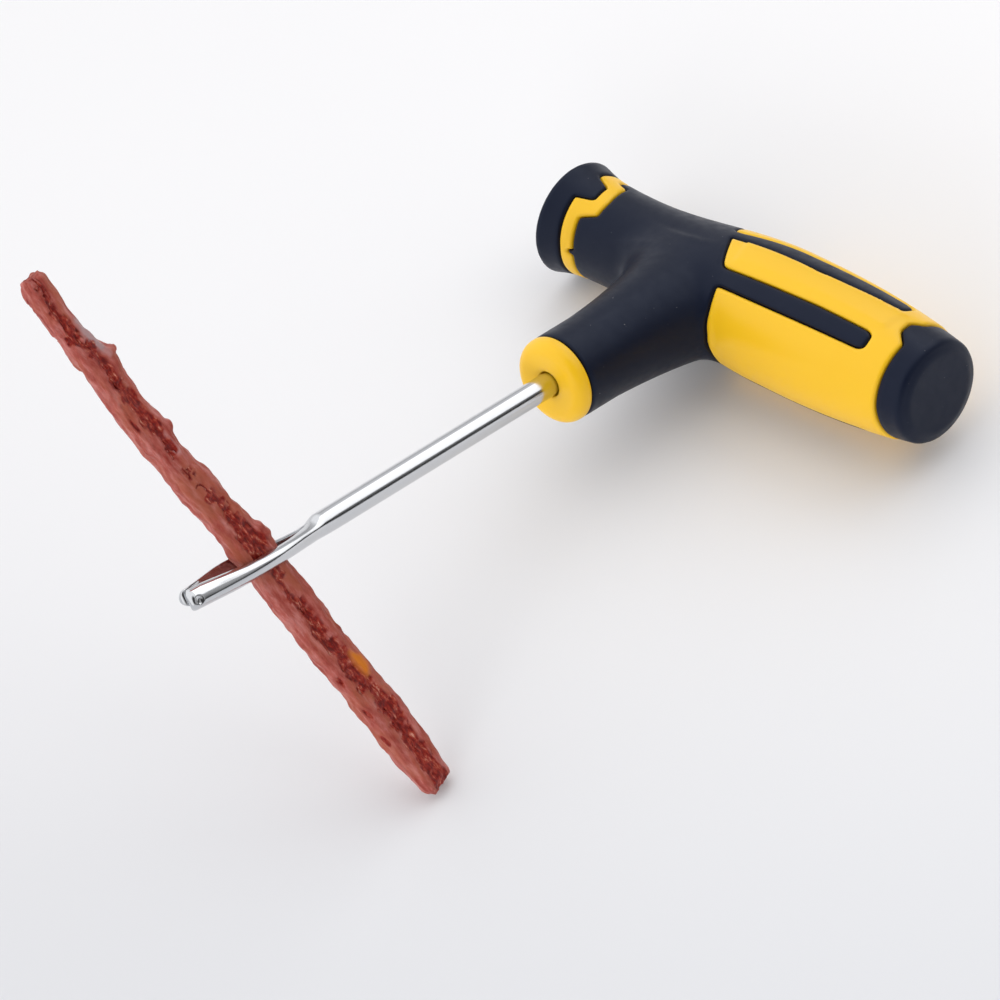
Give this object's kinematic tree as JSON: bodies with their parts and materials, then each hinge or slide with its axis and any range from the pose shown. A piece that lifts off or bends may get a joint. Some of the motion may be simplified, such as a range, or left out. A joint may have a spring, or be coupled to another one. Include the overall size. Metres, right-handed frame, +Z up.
{
  "type": "tyre plug insertion tool",
  "caption": "T-handled tyre plug insertion tool: a chromed split-eye needle in a two-colour overmoulded handle, threaded with a tacky rubber plug strip.",
  "frame": {"origin": "centre of the footprint on the table, below the middle of the object as it lies", "axes": "+Z up from the table; +X towards the handle's long grip; -Y towards the needle's tip"},
  "size_m": [0.1034, 0.1536, 0.1166],
  "materials": {
    "steel": "polished chrome plating",
    "hard_yellow": "semi-gloss moulded",
    "soft_black": "satin soft-touch overmould",
    "plug_rubber": "tacky, uneven, moist sheen",
    "yarn": "resin-soaked cord"
  },
  "bodies": {
    "tool": {"needle": "steel", "handle_core": "hard_yellow", "nose_collar": "hard_yellow", "saddle_grip": "soft_black", "left_end_cap": "soft_black", "right_end_cap": "soft_black"},
    "plug_strip": {"strip_strand_front": "plug_rubber", "strip_strand_rear": "plug_rubber", "yarn_front_1": "yarn", "yarn_front_2": "yarn", "yarn_front_3": "yarn", "yarn_rear_1": "yarn", "yarn_rear_2": "yarn", "yarn_rear_3": "yarn"}
  },
  "joints": [
    {"name": "strip_slide", "type": "slide", "parent": "tool", "child": "plug_strip", "axis": [-0.5175, -0.0334, 0.855], "range_m": [0, 0.045]}
  ]
}
